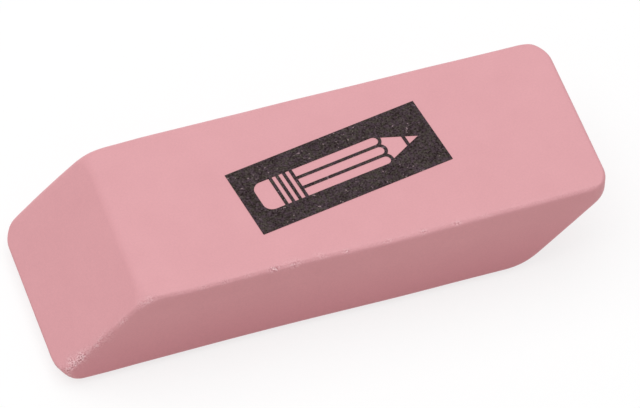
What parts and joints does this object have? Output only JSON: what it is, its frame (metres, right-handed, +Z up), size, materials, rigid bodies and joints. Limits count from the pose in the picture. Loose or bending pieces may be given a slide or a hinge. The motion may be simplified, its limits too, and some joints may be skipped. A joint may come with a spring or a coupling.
{
  "type": "rubber eraser",
  "caption": "Bevelled block eraser of pink rubber: both ends cut on one slant, edges worn soft by tumbling, and a dark printed panel on its upper face.",
  "frame": {"origin": "centre of the eraser's plan, on the surface it lies on", "axes": "+X along the length, towards the end whose upper edge overhangs; +Y across the width; +Z up, through the thickness, out of the printed face"},
  "size_m": [0.0604, 0.0216, 0.011],
  "materials": {
    "pink_rubber": "matte",
    "charcoal_ink": "matte"
  },
  "bodies": {
    "root": {"eraser_body": "pink_rubber", "printed_panel": "charcoal_ink"}
  },
  "joints": []
}
